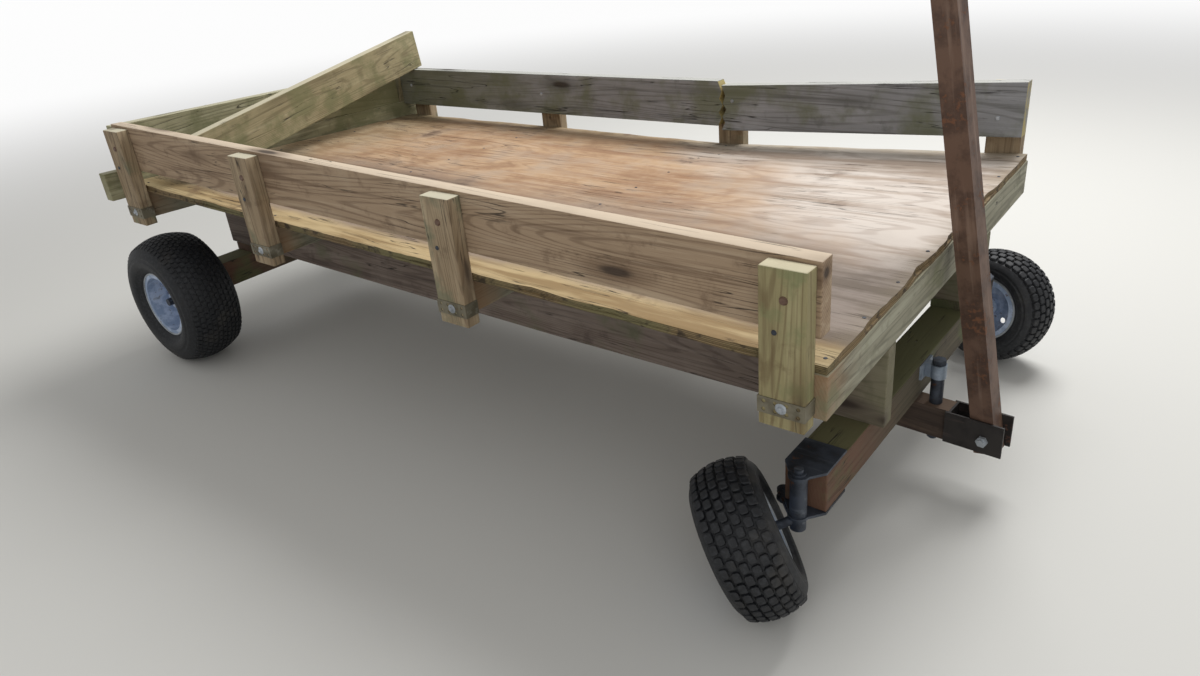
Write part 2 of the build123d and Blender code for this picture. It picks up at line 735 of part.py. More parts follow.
# The drawbar: a square tube on the fork's bolt, leaning back over the deck, with a hole at its free end
lean = radians(BAR_LEAN)
bar_up = (-along[0] * sin(lean), -along[1] * sin(lean), cos(lean))
bar_front = (along[0] * cos(lean), along[1] * cos(lean), sin(lean))
bar_frame = Plane(origin=bolt_point, x_dir=bar_front, z_dir=bar_up)
bar_side = Plane(origin=bolt_point, x_dir=bar_front, z_dir=left_of_tongue)
with BuildPart() as drawbar:
    with BuildSketch(bar_frame.offset(-BAR_FOOT)):
        Rectangle(BAR, BAR)
        Rectangle(BAR - 2 * BAR_WALL, BAR - 2 * BAR_WALL, mode=Mode.SUBTRACT)
    extrude(amount=BAR_LENGTH)
    with BuildSketch(bar_side):
        Circle(DRAWBAR_BOLT_R + CLOSE)
        with Locations((0, BAR_FOOT + HITCH_INSET - BAR_LENGTH)):
            Circle(HITCH_R)
    extrude(amount=BAR, both=True, mode=Mode.SUBTRACT)
keep("drawbar", drawbar.part)

# The whole wagon is moved so that the middle of its outline on the ground is the origin
boxes = [part.bounding_box() for part in pieces.values()]
middle_x = (min(box.min.X for box in boxes) + max(box.max.X for box in boxes)) / 2
middle_y = (min(box.min.Y for box in boxes) + max(box.max.Y for box in boxes)) / 2
ground = min(box.min.Z for box in boxes)
print("origin", middle_x, middle_y, ground)
os.makedirs("parts", exist_ok=True)
for label, part in pieces.items():
    placed = part.moved(Location((-middle_x, -middle_y, -ground)))
    placed.label = label
    export_step(placed, f"parts/{label}.step")
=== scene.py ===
from math import cos, pi, radians, sin

import bmesh
import bpy
from mathutils import Matrix, Vector, noise
from mathutils.bvhtree import BVHTree


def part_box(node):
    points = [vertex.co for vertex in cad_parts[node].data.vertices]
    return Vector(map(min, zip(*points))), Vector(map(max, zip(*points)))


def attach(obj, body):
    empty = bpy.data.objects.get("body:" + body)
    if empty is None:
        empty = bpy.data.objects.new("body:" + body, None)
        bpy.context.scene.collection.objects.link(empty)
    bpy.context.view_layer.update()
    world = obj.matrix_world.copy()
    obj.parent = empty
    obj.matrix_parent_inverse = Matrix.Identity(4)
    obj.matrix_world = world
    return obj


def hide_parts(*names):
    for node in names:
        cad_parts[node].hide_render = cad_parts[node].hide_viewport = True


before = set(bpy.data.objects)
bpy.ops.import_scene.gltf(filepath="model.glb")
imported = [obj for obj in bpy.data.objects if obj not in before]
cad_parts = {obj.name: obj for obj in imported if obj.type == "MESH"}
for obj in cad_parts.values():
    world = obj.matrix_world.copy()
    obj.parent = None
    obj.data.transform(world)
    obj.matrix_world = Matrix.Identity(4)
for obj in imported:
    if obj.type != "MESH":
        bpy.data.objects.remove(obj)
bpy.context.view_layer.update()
scene = bpy.context.scene
scene.view_settings.view_transform = "Standard"

# Camera: it stands off the wagon's right front corner, above the side boards, and looks back along
# the deck.
deck_low, deck_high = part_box("deck_sheet")
deck_middle = (deck_low + deck_high) / 2
camera = bpy.data.objects.new("camera", bpy.data.cameras.new("camera"))
scene.collection.objects.link(camera)
camera.location = (deck_middle.x + 1.753, deck_middle.y - 1.828, 1.316)
camera.rotation_euler = (radians(63.36), radians(4.99), radians(37.69))
camera.data.lens = 26.14
camera.data.clip_start = 0.02
scene.camera = camera


# Floor, backdrop and light: a plain pale floor that turns to the backdrop's white far away, a large
# soft light high on the far side, which leaves the near faces in soft shade as outdoors, and a weak
# one by the camera.
def paint(red, green, blue):
    """A colour as the eye sees it, 0 to 255 each, in the linear values that a shader takes."""
    linear = [((part / 255 + 0.055) / 1.055) ** 2.4 for part in (red, green, blue)]
    return (*linear, 1)


class Field:
    """A value, vector or colour that changes over a finish, with Python's own signs for its maths."""

    def __init__(self, tree, socket):
        self.tree = tree
        self.socket = socket

    def node(self, kind, sockets, out=0, **settings):
        """Any node: its settings first, then the values or links of its sockets."""
        made = self.tree.nodes.new(kind)
        for name, value in settings.items():
            setattr(made, name, value)
        for key, value in sockets.items():
            if isinstance(value, Field):
                self.tree.links.new(value.socket, made.inputs[key])
            else:
                made.inputs[key].default_value = value
        return Field(self.tree, made.outputs[out])

    def __add__(self, other):
        return self.node("ShaderNodeMath", {0: self, 1: other}, operation="ADD")

    def __sub__(self, other):
        return self.node("ShaderNodeMath", {0: self, 1: other}, operation="SUBTRACT")

    def __rsub__(self, other):
        return self.node("ShaderNodeMath", {0: other, 1: self}, operation="SUBTRACT")

    def __mul__(self, other):
        return self.node("ShaderNodeMath", {0: self, 1: other}, operation="MULTIPLY")

    def __abs__(self):
        return self.node("ShaderNodeMath", {0: self}, operation="ABSOLUTE")

    __radd__ = __add__
    __rmul__ = __mul__


def between(value, low, high):
    """0 below low, 1 above high, and a smooth rise from one to the other."""
    return value.node(
        "ShaderNodeMapRange",
        {"Value": value, "From Min": low, "From Max": high},
        interpolation_type="SMOOTHSTEP",
    )


def blended(first, second, share):
    """A colour on the way from the first to the second."""
    return share.node(
        "ShaderNodeMix", {0: share, 6: first, 7: second}, out=2, data_type="RGBA", clamp_factor=True
    )


def speckle(place, scale, detail=3.0, roughness=0.55):
    """Cloudy noise from 0 to 1."""
    sockets = {"Vector": place, "Scale": scale, "Detail": detail, "Roughness": roughness}
    return place.node("ShaderNodeTexNoise", sockets)


def stretched(place, along, across):
    """The same place with its X scaled by one number, and its Y and Z by another."""
    factors = (along, across, across)
    return place.node("ShaderNodeVectorMath", {0: place, 1: factors}, operation="MULTIPLY")


def new_finish(name, turn=(0, 0, 0)):
    """An empty material, its shader, and the place of a point in metres, with X along the piece."""
    material = bpy.data.materials.new(name)
    material.use_nodes = True
    tree = material.node_tree
    shader = tree.nodes["Principled BSDF"]
    place = Field(tree, None).node("ShaderNodeTexCoord", {}, out="Object")
    if any(turn):
        angles = tuple(radians(part) for part in turn)
        place = place.node("ShaderNodeMapping", {"Vector": place, "Rotation": angles})
    return material, shader, place


def settle(shader, colour, roughness, height, depth):
    """Puts a colour, a roughness and a bump of that depth in metres on a shader."""
    tree = height.tree
    for name, field in (("Base Color", colour), ("Roughness", roughness)):
        tree.links.new(field.socket, shader.inputs[name])
    bump = height.node("ShaderNodeBump", {"Height": height, "Distance": depth})
    tree.links.new(bump.socket, shader.inputs["Normal"])


floor_material, floor_shader, floor_place = new_finish("floor_pale")
reach = floor_place.node("ShaderNodeVectorMath", {0: floor_place}, out="Value", operation="LENGTH")
floor_ends, backdrop_begins, floor_reach = 2.2, 9.0, 400
far_off = between(reach, floor_ends, backdrop_begins)
floor_tree = floor_material.node_tree
for key, near_tone, far_tone in (
    ("Base Color", (216, 215, 210), (0, 0, 0)),
    ("Emission Color", (0, 0, 0), (249, 249, 249)),
):
    tone = blended(paint(*near_tone), paint(*far_tone), far_off)
    floor_tree.links.new(tone.socket, floor_shader.inputs[key])
floor_shader.inputs["Emission Strength"].default_value = 1.0
floor_shader.inputs["Roughness"].default_value = 0.9
floor_mesh = bmesh.new()
bmesh.ops.create_grid(floor_mesh, x_segments=1, y_segments=1, size=floor_reach)
floor_data = bpy.data.meshes.new("floor")
floor_mesh.to_mesh(floor_data)
floor_mesh.free()
floor = bpy.data.objects.new("floor", floor_data)
scene.collection.objects.link(floor)
floor_data.materials.append(floor_material)

world = bpy.data.worlds.new("studio")
scene.world = world
world.use_nodes = True
sky = world.node_tree.nodes["Background"]
sky.inputs["Color"].default_value = (1, 1, 1, 1)
path = world.node_tree.nodes.new("ShaderNodeLightPath")
seen = Field(world.node_tree, path.outputs["Is Camera Ray"])
strength = seen * 0.5 + 0.45
world.node_tree.links.new(strength.socket, sky.inputs["Strength"])

for name, spot, size, power in (
    ("light_high", (0.6, 2.6, 4.2), 2.6, 200),
    ("light_near", (2.8, -3.2, 2.6), 3.0, 24),
):
    lamp = bpy.data.lights.new(name, "AREA")
    lamp.size = size
    lamp.energy = power
    light = bpy.data.objects.new(name, lamp)
    scene.collection.objects.link(light)
    light.location = spot
    light.rotation_euler = (deck_middle - Vector(spot)).to_track_quat("-Z", "Y").to_euler()


# Deck: one sheet of plywood, 18 mm thick, nailed to the joists. Its face is orange and bleached by
# the sun, with open cracks along the grain, and its edges are ragged and come apart in plies.
def finished(mesh, name, material, body, replaced=()):
    """Makes a piece of a bmesh, with its finish, its body and the nodes it stands for."""
    data = bpy.data.meshes.new(name)
    mesh.to_mesh(data)
    mesh.free()
    data.materials.append(material)
    piece = bpy.data.objects.new(name, data)
    scene.collection.objects.link(piece)
    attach(piece, body)
    if replaced:
        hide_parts(*replaced)
    return piece


deck_tree = BVHTree.FromObject(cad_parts["deck_sheet"], bpy.context.evaluated_depsgraph_get())
deck_size = deck_high - deck_low
ply_step = 0.022
sheet = 0.018


def deck_top(x, y):
    """Height of the deck's face, which is twisted and sags, at a place on the plan."""
    inside_x = min(max(x, deck_low.x + 0.001), deck_high.x - 0.001)
    inside_y = min(max(y, deck_low.y + 0.001), deck_high.y - 0.001)
    return deck_tree.ray_cast(Vector((inside_x, inside_y, 2)), Vector((0, 0, -1)))[0].z


def waves(field, count):
    """A smooth wave from 0 to 1 that repeats that many times while the field goes from 0 to 1."""
    turned = field * (2 * pi * count)
    return field.node("ShaderNodeMath", {0: turned}, operation="SINE") * 0.5 + 0.5


plywood, plywood_shader, spot = new_finish("plywood_weathered")
fine_grain = speckle(stretched(spot, 5, 240), 1.0, 4, 0.6)
streaks = speckle(stretched(spot, 1.5, 15), 1.0, 5, 0.62)
clouds = speckle(spot, 2.3, 4, 0.6)
patches = speckle(spot, 7.0, 5, 0.65)
deck_x = spot.node("ShaderNodeSeparateXYZ", {0: spot}, out="X")
deck_y = spot.node("ShaderNodeSeparateXYZ", {0: spot}, out="Y")
figure = waves(speckle(stretched(spot, 0.7, 3.6), 1.0, 2.5, 0.5), 22)
orange = blended(paint(190, 157, 122), paint(156, 118, 85), between(streaks, 0.4, 0.7))
orange = blended(orange, paint(142, 104, 74), between(figure, 0.55, 1.0) * 0.36)
orange = blended(orange, paint(218, 196, 172), between(fine_grain, 0.52, 0.72) * 0.5)
orange = blended(orange, paint(180, 162, 144), between(patches, 0.42, 0.72) * 0.55)
orange = blended(orange, paint(138, 101, 71), between(patches * -1, -0.52, -0.28) * 0.55)
far_front = between(deck_x + deck_y * 0.6 + clouds * 1.1, 0.95, 1.5)
bleached_streaks = between(streaks + patches * 0.3, 0.56, 0.78)
bleached = blended(paint(216, 205, 194), paint(176, 158, 142), bleached_streaks)
bleached = blended(bleached, paint(150, 128, 112), between(figure, 0.6, 1.0) * 0.3)
face = blended(orange, bleached, far_front)
# Painted shadow: the deck's near half is darkened and greyed, and partly this is also dirt.
near_shadow_share = between(deck_y * -1 + clouds * 0.35, 0.1, 0.42)
near_shadow_streaks = between(streaks + patches * 0.4, 0.6, 0.82)
shadow_and_dirt = blended(paint(142, 128, 118), paint(104, 92, 80), near_shadow_streaks)
face = blended(face, shadow_and_dirt, near_shadow_share * 0.85)
# Painted sunlight: a yellow strip along the deck's near edge, where sun comes in under the side board.
sunlit_strip = between(deck_y * -1 + (patches - 0.5) * 0.05, 0.49, 0.545)
yellow = blended(paint(206, 182, 134), paint(162, 134, 88), between(streaks, 0.45, 0.6))
face = blended(face, yellow, sunlit_strip * 0.85)
edge_share = between(deck_y - deck_middle.y + clouds * 0.16, 0.58, 0.72)
rear_share = between(deck_x * -1 + clouds * 0.5, 0.95, 1.45)
front_share = between(deck_x + clouds * 0.2, 1.22, 1.36)
algae = blended(paint(112, 104, 74), paint(150, 138, 106), between(patches, 0.4, 0.6))
face = blended(face, algae, edge_share * 0.7)
face = blended(face, algae, rear_share * 0.55)
face = blended(face, algae, front_share * 0.45)
stain = between(patches, 0.55, 0.7) * between(clouds, 0.43, 0.6)
face = blended(face, paint(104, 78, 58), stain * 0.75)
crack_field = speckle(stretched(spot, 1.5, 40), 1.0, 2.5, 0.5)
crack_zone = between(clouds * 0.7 + patches * 0.2, 0.36, 0.5)
cracks = (1 - between(abs(crack_field - 0.5), 0.0, 0.01)) * crack_zone
face = blended(face, paint(48, 36, 26), cracks * 0.9)
depth_at = spot.node("ShaderNodeAttribute", {}, out="Fac", attribute_name="depth")
ply_count = 5.0
ply_wave = depth_at.node("ShaderNodeMath", {0: depth_at * ply_count}, operation="FRACT")
plies = blended(paint(84, 66, 44), paint(152, 130, 92), between(abs(ply_wave - 0.5), 0.08, 0.42))
plies = blended(plies, paint(108, 108, 70), between(clouds, 0.45, 0.6) * 0.6)
plies = blended(plies, paint(48, 38, 28), between(speckle(spot, 34, 3), 0.5, 0.66) * 0.8)
on_edge = between(depth_at, 0.02, 0.06) * (1 - between(depth_at, 0.97, 0.995))
underneath = between(depth_at, 0.97, 0.995)
face = blended(face, plies, on_edge)
face = blended(face, paint(96, 84, 66), underneath * 0.9)
settle(
    plywood_shader,
    face,
    0.84 - fine_grain * 0.1,
    fine_grain * 0.3 + streaks * 0.3 - figure * 0.12 - cracks * 1.6 + ply_wave * on_edge * 0.8,
    0.0018,
)

for number, (name, top, bottom, wear, replaced) in enumerate(
    (
        ("deck_upper_plies", 0.0, 0.011, 1.0, ("deck_sheet",)),
        ("deck_lower_plies", 0.0115, sheet, 0.55, ()),
    )
):
    plate = bmesh.new()
    columns = round(deck_size.x / ply_step)
    rows = round(deck_size.y / ply_step)
    bmesh.ops.create_grid(plate, x_segments=columns, y_segments=rows, size=0.5)
    half = Vector((deck_size.x / 2, deck_size.y / 2, 0))
    for vert in plate.verts:
        vert.co = Vector((vert.co.x * deck_size.x, vert.co.y * deck_size.y, 0))
        tear = noise.noise(vert.co * 9 + Vector((0, 0, number * 3)))
        fray = noise.noise(vert.co * 46 + Vector((5, 0, number * 7)))
        bite = wear * (0.003 + 0.009 * max(0, tear + 0.15) + 0.005 * max(0, fray))
        for axis in (0, 1):
            if abs(vert.co[axis]) > half[axis] - 1e-4:
                vert.co[axis] *= 1 - bite / half[axis]
        vert.co.x += deck_middle.x
        vert.co.y += deck_middle.y
        lift = 0.0006 * noise.noise(vert.co * 5)
        vert.co.z = deck_top(vert.co.x, vert.co.y) - top - 0.0006 + (lift if number == 0 else 0)
    depth = plate.verts.layers.float.new("depth")
    for vert in plate.verts:
        vert[depth] = top / sheet
    lower = bmesh.ops.extrude_face_region(plate, geom=plate.faces[:])["geom"]
    for vert in (part for part in lower if isinstance(part, bmesh.types.BMVert)):
        vert.co.z -= bottom - top
        vert[depth] = bottom / sheet
    bmesh.ops.recalc_face_normals(plate, faces=plate.faces)
    finished(plate, name, plywood, "wagon", replaced)


# Lumber: dressed softwood boards, weathered to grey, green and brown. Growth rings show as flames
# on the faces and as curves on the sawn ends, with knots, checks along the grain and worn edges.
def lumber(name, turn, tones, top, moss, moss_level, moss_scale, fade=None, torn=None):
    """A weathered board's finish. Tones are its dark, its body and its pale colour, and top is that
    of its upper faces. Moss grows in patches. Fade is a tone that comes in between two places along
    the board, and torn is that of its ends."""
    material, shader, place = new_finish(name, turn)
    dark, body, pale = (paint(*tone) for tone in tones)
    end = place.node("ShaderNodeAttribute", {}, out="Fac", attribute_name="end")
    upward = place.node("ShaderNodeAttribute", {}, out="Fac", attribute_name="up")
    flame_count, rings_per_metre, pith_at = 30, 150, (0.0, 0.05, -0.03)
    flames = waves(speckle(stretched(place, 0.55, 8), 1.0, 1.5, 0.4), flame_count)
    pith = place.node(
        "ShaderNodeVectorMath",
        {0: stretched(place, 0.0, 1.0), 1: pith_at},
        out="Value",
        operation="DISTANCE",
    )
    growth_rings = waves(pith, rings_per_metre)
    late = flames + (growth_rings - flames) * end
    cell = place.node(
        "ShaderNodeTexVoronoi",
        {"Vector": stretched(place, 2.3, 9), "Scale": 1.0, "Randomness": 1.0},
        out="Distance",
    )
    knot = 1 - between(cell, 0.06, 0.13)
    around_knot = (1 - between(cell, 0.1, 0.3)) * 0.6
    fibre = speckle(stretched(place, 7, 300), 1.0, 4, 0.65)
    streak = speckle(stretched(place, 1.6, 34), 1.0, 4, 0.6)
    cloud = speckle(place, 5.0, 4, 0.6)
    blotch = speckle(place, 17.0, 4, 0.65)
    colour = blended(body, dark, between(late, 0.6, 1.0) * 0.46)
    colour = blended(colour, pale, between(streak, 0.5, 0.7) * 0.5)
    colour = blended(colour, dark, between(streak * -1, -0.45, -0.3) * 0.6)
    colour = blended(colour, pale, between(fibre, 0.52, 0.75) * 0.35)
    colour = blended(colour, dark, between(fibre * -1, -0.42, -0.28) * 0.4)
    colour = blended(colour, dark, between(blotch, 0.54, 0.72) * 0.5)
    colour = blended(colour, pale, between(cloud, 0.52, 0.74) * 0.35)
    if fade:
        length = place.node("ShaderNodeSeparateXYZ", {0: place}, out="X")
        share = between(length + (cloud - 0.5) * 0.25, fade[1], fade[2])
        colour = blended(colour, paint(*fade[0]), share * 0.75)
    patch = speckle(place, moss_scale, 5, 0.62) + streak * 0.18
    growth = between(patch, moss_level, moss_level + 0.16)
    colour = blended(colour, paint(*moss), growth * 0.75)
    # Upper faces are painted lighter: painted sunlight on the tops, together with sun bleaching.
    colour = blended(colour, paint(*top), between(upward + cloud * 0.5, 0.9, 1.25) * 0.85)
    if torn:
        colour = blended(colour, paint(*torn), end * between(blotch, 0.3, 0.55) * 0.9)
    colour = blended(colour, dark, around_knot)
    colour = blended(colour, paint(44, 32, 24), knot * 0.8)
    split_field = speckle(stretched(place, 1.6, 40), 1.0, 2.0, 0.5)
    splits = 1 - between(abs(split_field - 0.5), 0.0, 0.008)
    checks = splits * between(cloud, 0.46, 0.58) * (1 - end)
    colour = blended(colour, paint(36, 30, 24), checks * 0.85)
    height = fibre * 0.25 + streak * 0.3 - late * 0.14 - checks * 1.8 - knot * 0.3
    settle(shader, colour, 0.88 - fibre * 0.1, height, 0.0014)
    return material


along_x = (0, 0, 0)
along_y = (0, 0, -90)
upright = (0, 90, 0)
grain_ways = {
    along_x: Vector((1, 0, 0)),
    along_y: Vector((0, 1, 0)),
    upright: Vector((0, 0, 1)),
}


def worn(node, material, length=along_x, ease=0.0025, body="wagon"):
    """A board of the shape of its CAD node, its sharp edges worn round, with its ends and its upper
    faces marked for the finish."""
    board = bmesh.new()
    board.from_mesh(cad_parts[node].data)
    bmesh.ops.remove_doubles(board, verts=board.verts, dist=2e-5)
    flat, corner = radians(1.5), radians(25)
    bmesh.ops.dissolve_limit(board, angle_limit=flat, verts=board.verts, edges=board.edges)
    sharp = [edge for edge in board.edges if edge.is_manifold and edge.calc_face_angle() > corner]
    bmesh.ops.bevel(
        board,
        geom=sharp,
        offset=ease,
        segments=2,
        profile=0.5,
        affect="EDGES",
        material=-1,
        clamp_overlap=True,
    )
    bmesh.ops.triangulate(board, faces=board.faces)
    end = board.faces.layers.float.new("end")
    upward = board.faces.layers.float.new("up")
    for side in board.faces:
        side[end] = 1.0 if abs(side.normal.dot(grain_ways[length])) > 0.8 else 0.0
        side[upward] = max(0.0, side.normal.z)
    return finished(board, f"{node}_wood", material, body, (node,))


# Joists and beams: two-by-fours across under the deck, and two long two-by-eights along under
# those, all on edge. The front ends are mossy, and the rest is grey-brown.
joist_wood = lumber(
    "joist_wood", along_y, ((92, 88, 72), (144, 141, 122), (182, 180, 160)), (160, 156, 132),
    (114, 116, 86), 0.64, 7, ((148, 112, 78), -0.46, -0.62)
)
beam_wood = lumber(
    "beam_wood", along_x, ((68, 56, 50), (118, 104, 94), (150, 137, 127)), (124, 120, 102),
    (98, 102, 74), 0.62, 3.2, ((116, 118, 84), 0.95, 1.35)
)
for number in range(1, 5):
    worn(f"joist_{number}", joist_wood, along_y)
for side in ("right", "left"):
    worn(f"beam_{side}", beam_wood)

# Stakes and corner post: eight short two-by-fours bolted outside the deck's edges, and one that
# leans at the rear. The right front stake is newer, yellow and green, and the others have gone tan.
# The tops are painted lighter, partly sun bleaching and partly painted sunlight.
new_stake_wood = lumber(
    "stake_wood_new", upright, ((98, 78, 50), (148, 138, 100), (182, 174, 134)), (216, 206, 176),
    (122, 126, 86), 0.62, 9
)
old_stake_wood = lumber(
    "stake_wood_old", upright, ((94, 74, 54), (150, 131, 104), (196, 178, 148)), (212, 206, 182),
    (110, 112, 88), 0.6, 8
)
for side in ("right", "left"):
    for number in range(1, 5):
        newer = side == "right" and number == 4
        wood = new_stake_wood if newer else old_stake_wood
        worn(f"stake_{side}_{number}", wood, upright)
post_wood = lumber(
    "post_wood", (13.7, 90, 0), ((90, 82, 60), (142, 132, 104), (186, 176, 146)), (188, 182, 156),
    (108, 108, 76), 0.58, 8
)
worn("corner_post", post_wood, upright)

# Side boards, tail board, rear rail and loose board: lumber on edge, screwed to the stakes and the
# post. The left board is blue-grey with algae and snapped at its third stake, where the torn wood
# is yellow, and the rear ones are green.
near_board_wood = lumber(
    "board_wood_near", along_x, ((98, 75, 55), (162, 139, 113), (194, 174, 148)), (222, 204, 180),
    (128, 116, 94), 0.7, 5
)
far_board_wood = lumber(
    "board_wood_far", along_x, ((84, 84, 80), (136, 137, 139), (168, 169, 173)), (186, 186, 180),
    (98, 102, 74), 0.57, 3.6, ((108, 110, 88), -0.2, -1.1), (176, 160, 104)
)
rear_board_wood = lumber(
    "board_wood_rear", along_y, ((96, 90, 64), (150, 145, 114), (196, 191, 160)), (198, 193, 166),
    (114, 115, 80), 0.54, 6
)
loose_board_wood = lumber(
    "board_wood_loose", (-8, 0, -97),
    ((94, 84, 58), (150, 139, 106), (196, 184, 150)), (210, 202, 176),
    (112, 112, 76), 0.57, 6
)
worn("side_board_right", near_board_wood)
for part in ("rear", "front"):
    worn(f"side_board_left_{part}", far_board_wood, along_x, 0.0015)
for node, material in (
    ("tail_board", rear_board_wood),
    ("rear_rail", rear_board_wood),
    ("loose_board", loose_board_wood),
):
    worn(node, material, along_y)

# Axles, their packing and the tongue's wooden filler: four-by-fours, dark with damp, green on top,
# and reddish-brown at the right end.
axle_wood = lumber(
    "axle_wood", along_y, ((48, 40, 32), (84, 76, 60), (112, 106, 84)), (104, 104, 70),
    (86, 94, 58), 0.61, 5, ((108, 74, 56), -0.12, -0.42)
)
tongue_wood = lumber(
    "tongue_wood", (0, 0, 4), ((40, 30, 25), (66, 53, 44), (100, 83, 70)), (112, 92, 76),
    (84, 84, 54), 0.66, 8
)
for end, side in (("front", "left"), ("rear", "right")):
    worn(f"{end}_axle", axle_wood, along_y)
    worn(f"packing_{end}_{side}", axle_wood, along_y, 0.001)
worn("tongue_block", tongue_wood, along_x, 0.002, "tongue")


# Bare steel: the drawbar and fork are rusted dark brown, and the knuckles, yokes, rods and straps
# have dull grey zinc with rust and dirt on it.
def steel(name, tones, rust_level, metallic, turn=(0, 0, 0)):
    """Old steel: its dark, its body, its pale and its rust colour, and how readily rust shows."""
    material, shader, place = new_finish(name, turn)
    dark, body, pale, rust = (paint(*tone) for tone in tones)
    cloud = speckle(place, 14, 5, 0.62)
    fine = speckle(place, 90, 4, 0.6)
    run = speckle(stretched(place, 3, 40), 1.0, 4, 0.6)
    colour = blended(body, dark, between(cloud, 0.42, 0.62) * 0.8)
    colour = blended(colour, pale, between(run, 0.54, 0.72) * 0.6)
    rusted = between(cloud * 0.55 + fine * 0.45, rust_level, rust_level + 0.1)
    colour = blended(colour, rust, rusted * 0.85)
    shader.inputs["Metallic"].default_value = metallic
    roughness = 0.5 + rusted * 0.3 + fine * 0.1
    height = fine * 0.6 + rusted * 0.4 + cloud * 0.3
    settle(shader, colour, roughness, height, 0.0008)
    return material


bar_lean = 10.6
bar_steel = steel(
    "drawbar_rust", ((68, 48, 38), (106, 81, 66), (142, 118, 102), (124, 84, 60)), 0.55, 0.1,
    (0, 90 + bar_lean, 0)
)
fork_steel = steel(
    "fork_steel", ((27, 25, 25), (50, 46, 44), (92, 78, 72), (112, 76, 60)), 0.57, 0.25
)
zinc_steel = steel(
    "zinc_steel", ((84, 78, 62), (124, 118, 100), (166, 162, 148), (116, 86, 58)), 0.57, 0.35
)
bright_steel = steel(
    "bright_steel", ((138, 142, 146), (178, 184, 190), (216, 220, 224), (128, 104, 80)), 0.64, 0.5
)
blue_steel = steel(
    "bushing_steel", ((110, 120, 132), (152, 164, 178), (188, 198, 208), (120, 96, 76)), 0.62, 0.35
)
dark_steel = steel(
    "dark_steel", ((36, 38, 43), (70, 76, 86), (114, 120, 128), (98, 68, 50)), 0.57, 0.45
)
worn("drawbar", bar_steel, upright, 0.004, "drawbar")
for node, material in (
    ("fork_web", fork_steel),
    ("fork_cheek_right", fork_steel),
    ("fork_cheek_left", fork_steel),
    ("drawbar_bolt", bright_steel),
    ("king_bolt", dark_steel),
    ("lever_bolt", dark_steel),
    ("king_bushing", blue_steel),
    ("straps_right", zinc_steel),
    ("straps_left", zinc_steel),
    ("front_yoke_right", dark_steel),
    ("front_yoke_left", dark_steel),
    ("knuckle_right", dark_steel),
    ("knuckle_left", dark_steel),
    ("tie_rod_right", dark_steel),
    ("tie_rod_left", dark_steel),
    ("rear_stub_right", dark_steel),
    ("rear_stub_left", dark_steel),
):
    node_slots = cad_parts[node].data.materials
    node_slots.clear()
    node_slots.append(material)


# Fasteners: deck nails gone dark, a rusty bolt and a screw in each stake, screws in the left board,
# and a washer and a screw on each strap. All are steel, driven into the wood.
def heads(name, places, radius, rise, material, body="wagon"):
    """Round heads that stand on a face: each has its place and the way it faces."""
    group = bmesh.new()
    sunk = 0.0003
    for place, facing in places:
        outward = Vector(facing).normalized()
        centre = Vector(place) + outward * (rise / 2 - sunk)
        bmesh.ops.create_cone(
            group,
            cap_ends=True,
            segments=14,
            radius1=radius,
            radius2=radius * 0.72,
            depth=rise,
            matrix=Matrix.Translation(centre) @ outward.to_track_quat("Z", "Y").to_matrix().to_4x4(),
        )
    bmesh.ops.triangulate(group, faces=group.faces)
    return finished(group, name, material, body)


nails_per_joist = 8
nail_inset = 0.03
nail_spots = []
for number in range(1, 5):
    joist_low, joist_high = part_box(f"joist_{number}")
    joist_x = (joist_low.x + joist_high.x) / 2
    for step in range(nails_per_joist):
        nail_pitch = (deck_size.y - 2 * nail_inset) / (nails_per_joist - 1)
        nail_y = deck_low.y + nail_inset + step * nail_pitch
        nail_spots.append(((joist_x, nail_y, deck_top(joist_x, nail_y) - 0.0007), (0, 0, 1)))
heads("deck_nails", nail_spots, 0.0045, 0.0012, dark_steel)

stake_bolts = []
stake_screws = []
washers = []
strap_screws = []
for side, outward in (("right", -1), ("left", 1)):
    strap_points = [vert.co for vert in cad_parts[f"straps_{side}"].data.vertices]
    for number in range(1, 5):
        stake_low, stake_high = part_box(f"stake_{side}_{number}")
        stake_x = (stake_low.x + stake_high.x) / 2
        stake_face = stake_low.y if outward < 0 else stake_high.y
        for group, shift, drop in ((stake_bolts, 0.003, 0.056), (stake_screws, -0.014, 0.118)):
            group.append(((stake_x + shift, stake_face, stake_high.z - drop), (0, outward, 0)))
        near_points = [point for point in strap_points if abs(point.x - stake_x) < 0.06]
        strap_face = (min if outward < 0 else max)(point.y for point in near_points)
        heights = [point.z for point in near_points]
        strap_z = (min(heights) + max(heights)) / 2
        washers.append(((stake_x, strap_face, strap_z), (0, outward, 0)))
        strap_screws.append(((stake_x, strap_face + outward * 0.0015, strap_z), (0, outward, 0)))
heads("stake_bolts", stake_bolts, 0.0085, 0.004, bar_steel)
heads("stake_screws", stake_screws, 0.0055, 0.0025, dark_steel)
board_screws = []
for number, part, shift in (
    (1, "rear", 0.0),
    (2, "rear", 0.0),
    (3, "front", 0.03),
    (4, "front", -0.01),
):
    stake_low, stake_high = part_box(f"stake_left_{number}")
    board_low, board_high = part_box(f"side_board_left_{part}")
    screw_x = (stake_low.x + stake_high.x) / 2 + shift
    screw_z = (board_low.z + board_high.z) / 2
    board_screws.append(((screw_x, board_low.y, screw_z), (0, -1, 0)))
heads("board_screws", board_screws, 0.006, 0.003, bright_steel)
heads("strap_washers", washers, 0.0115, 0.0018, bright_steel)
heads("strap_screws", strap_screws, 0.0062, 0.004, bright_steel)


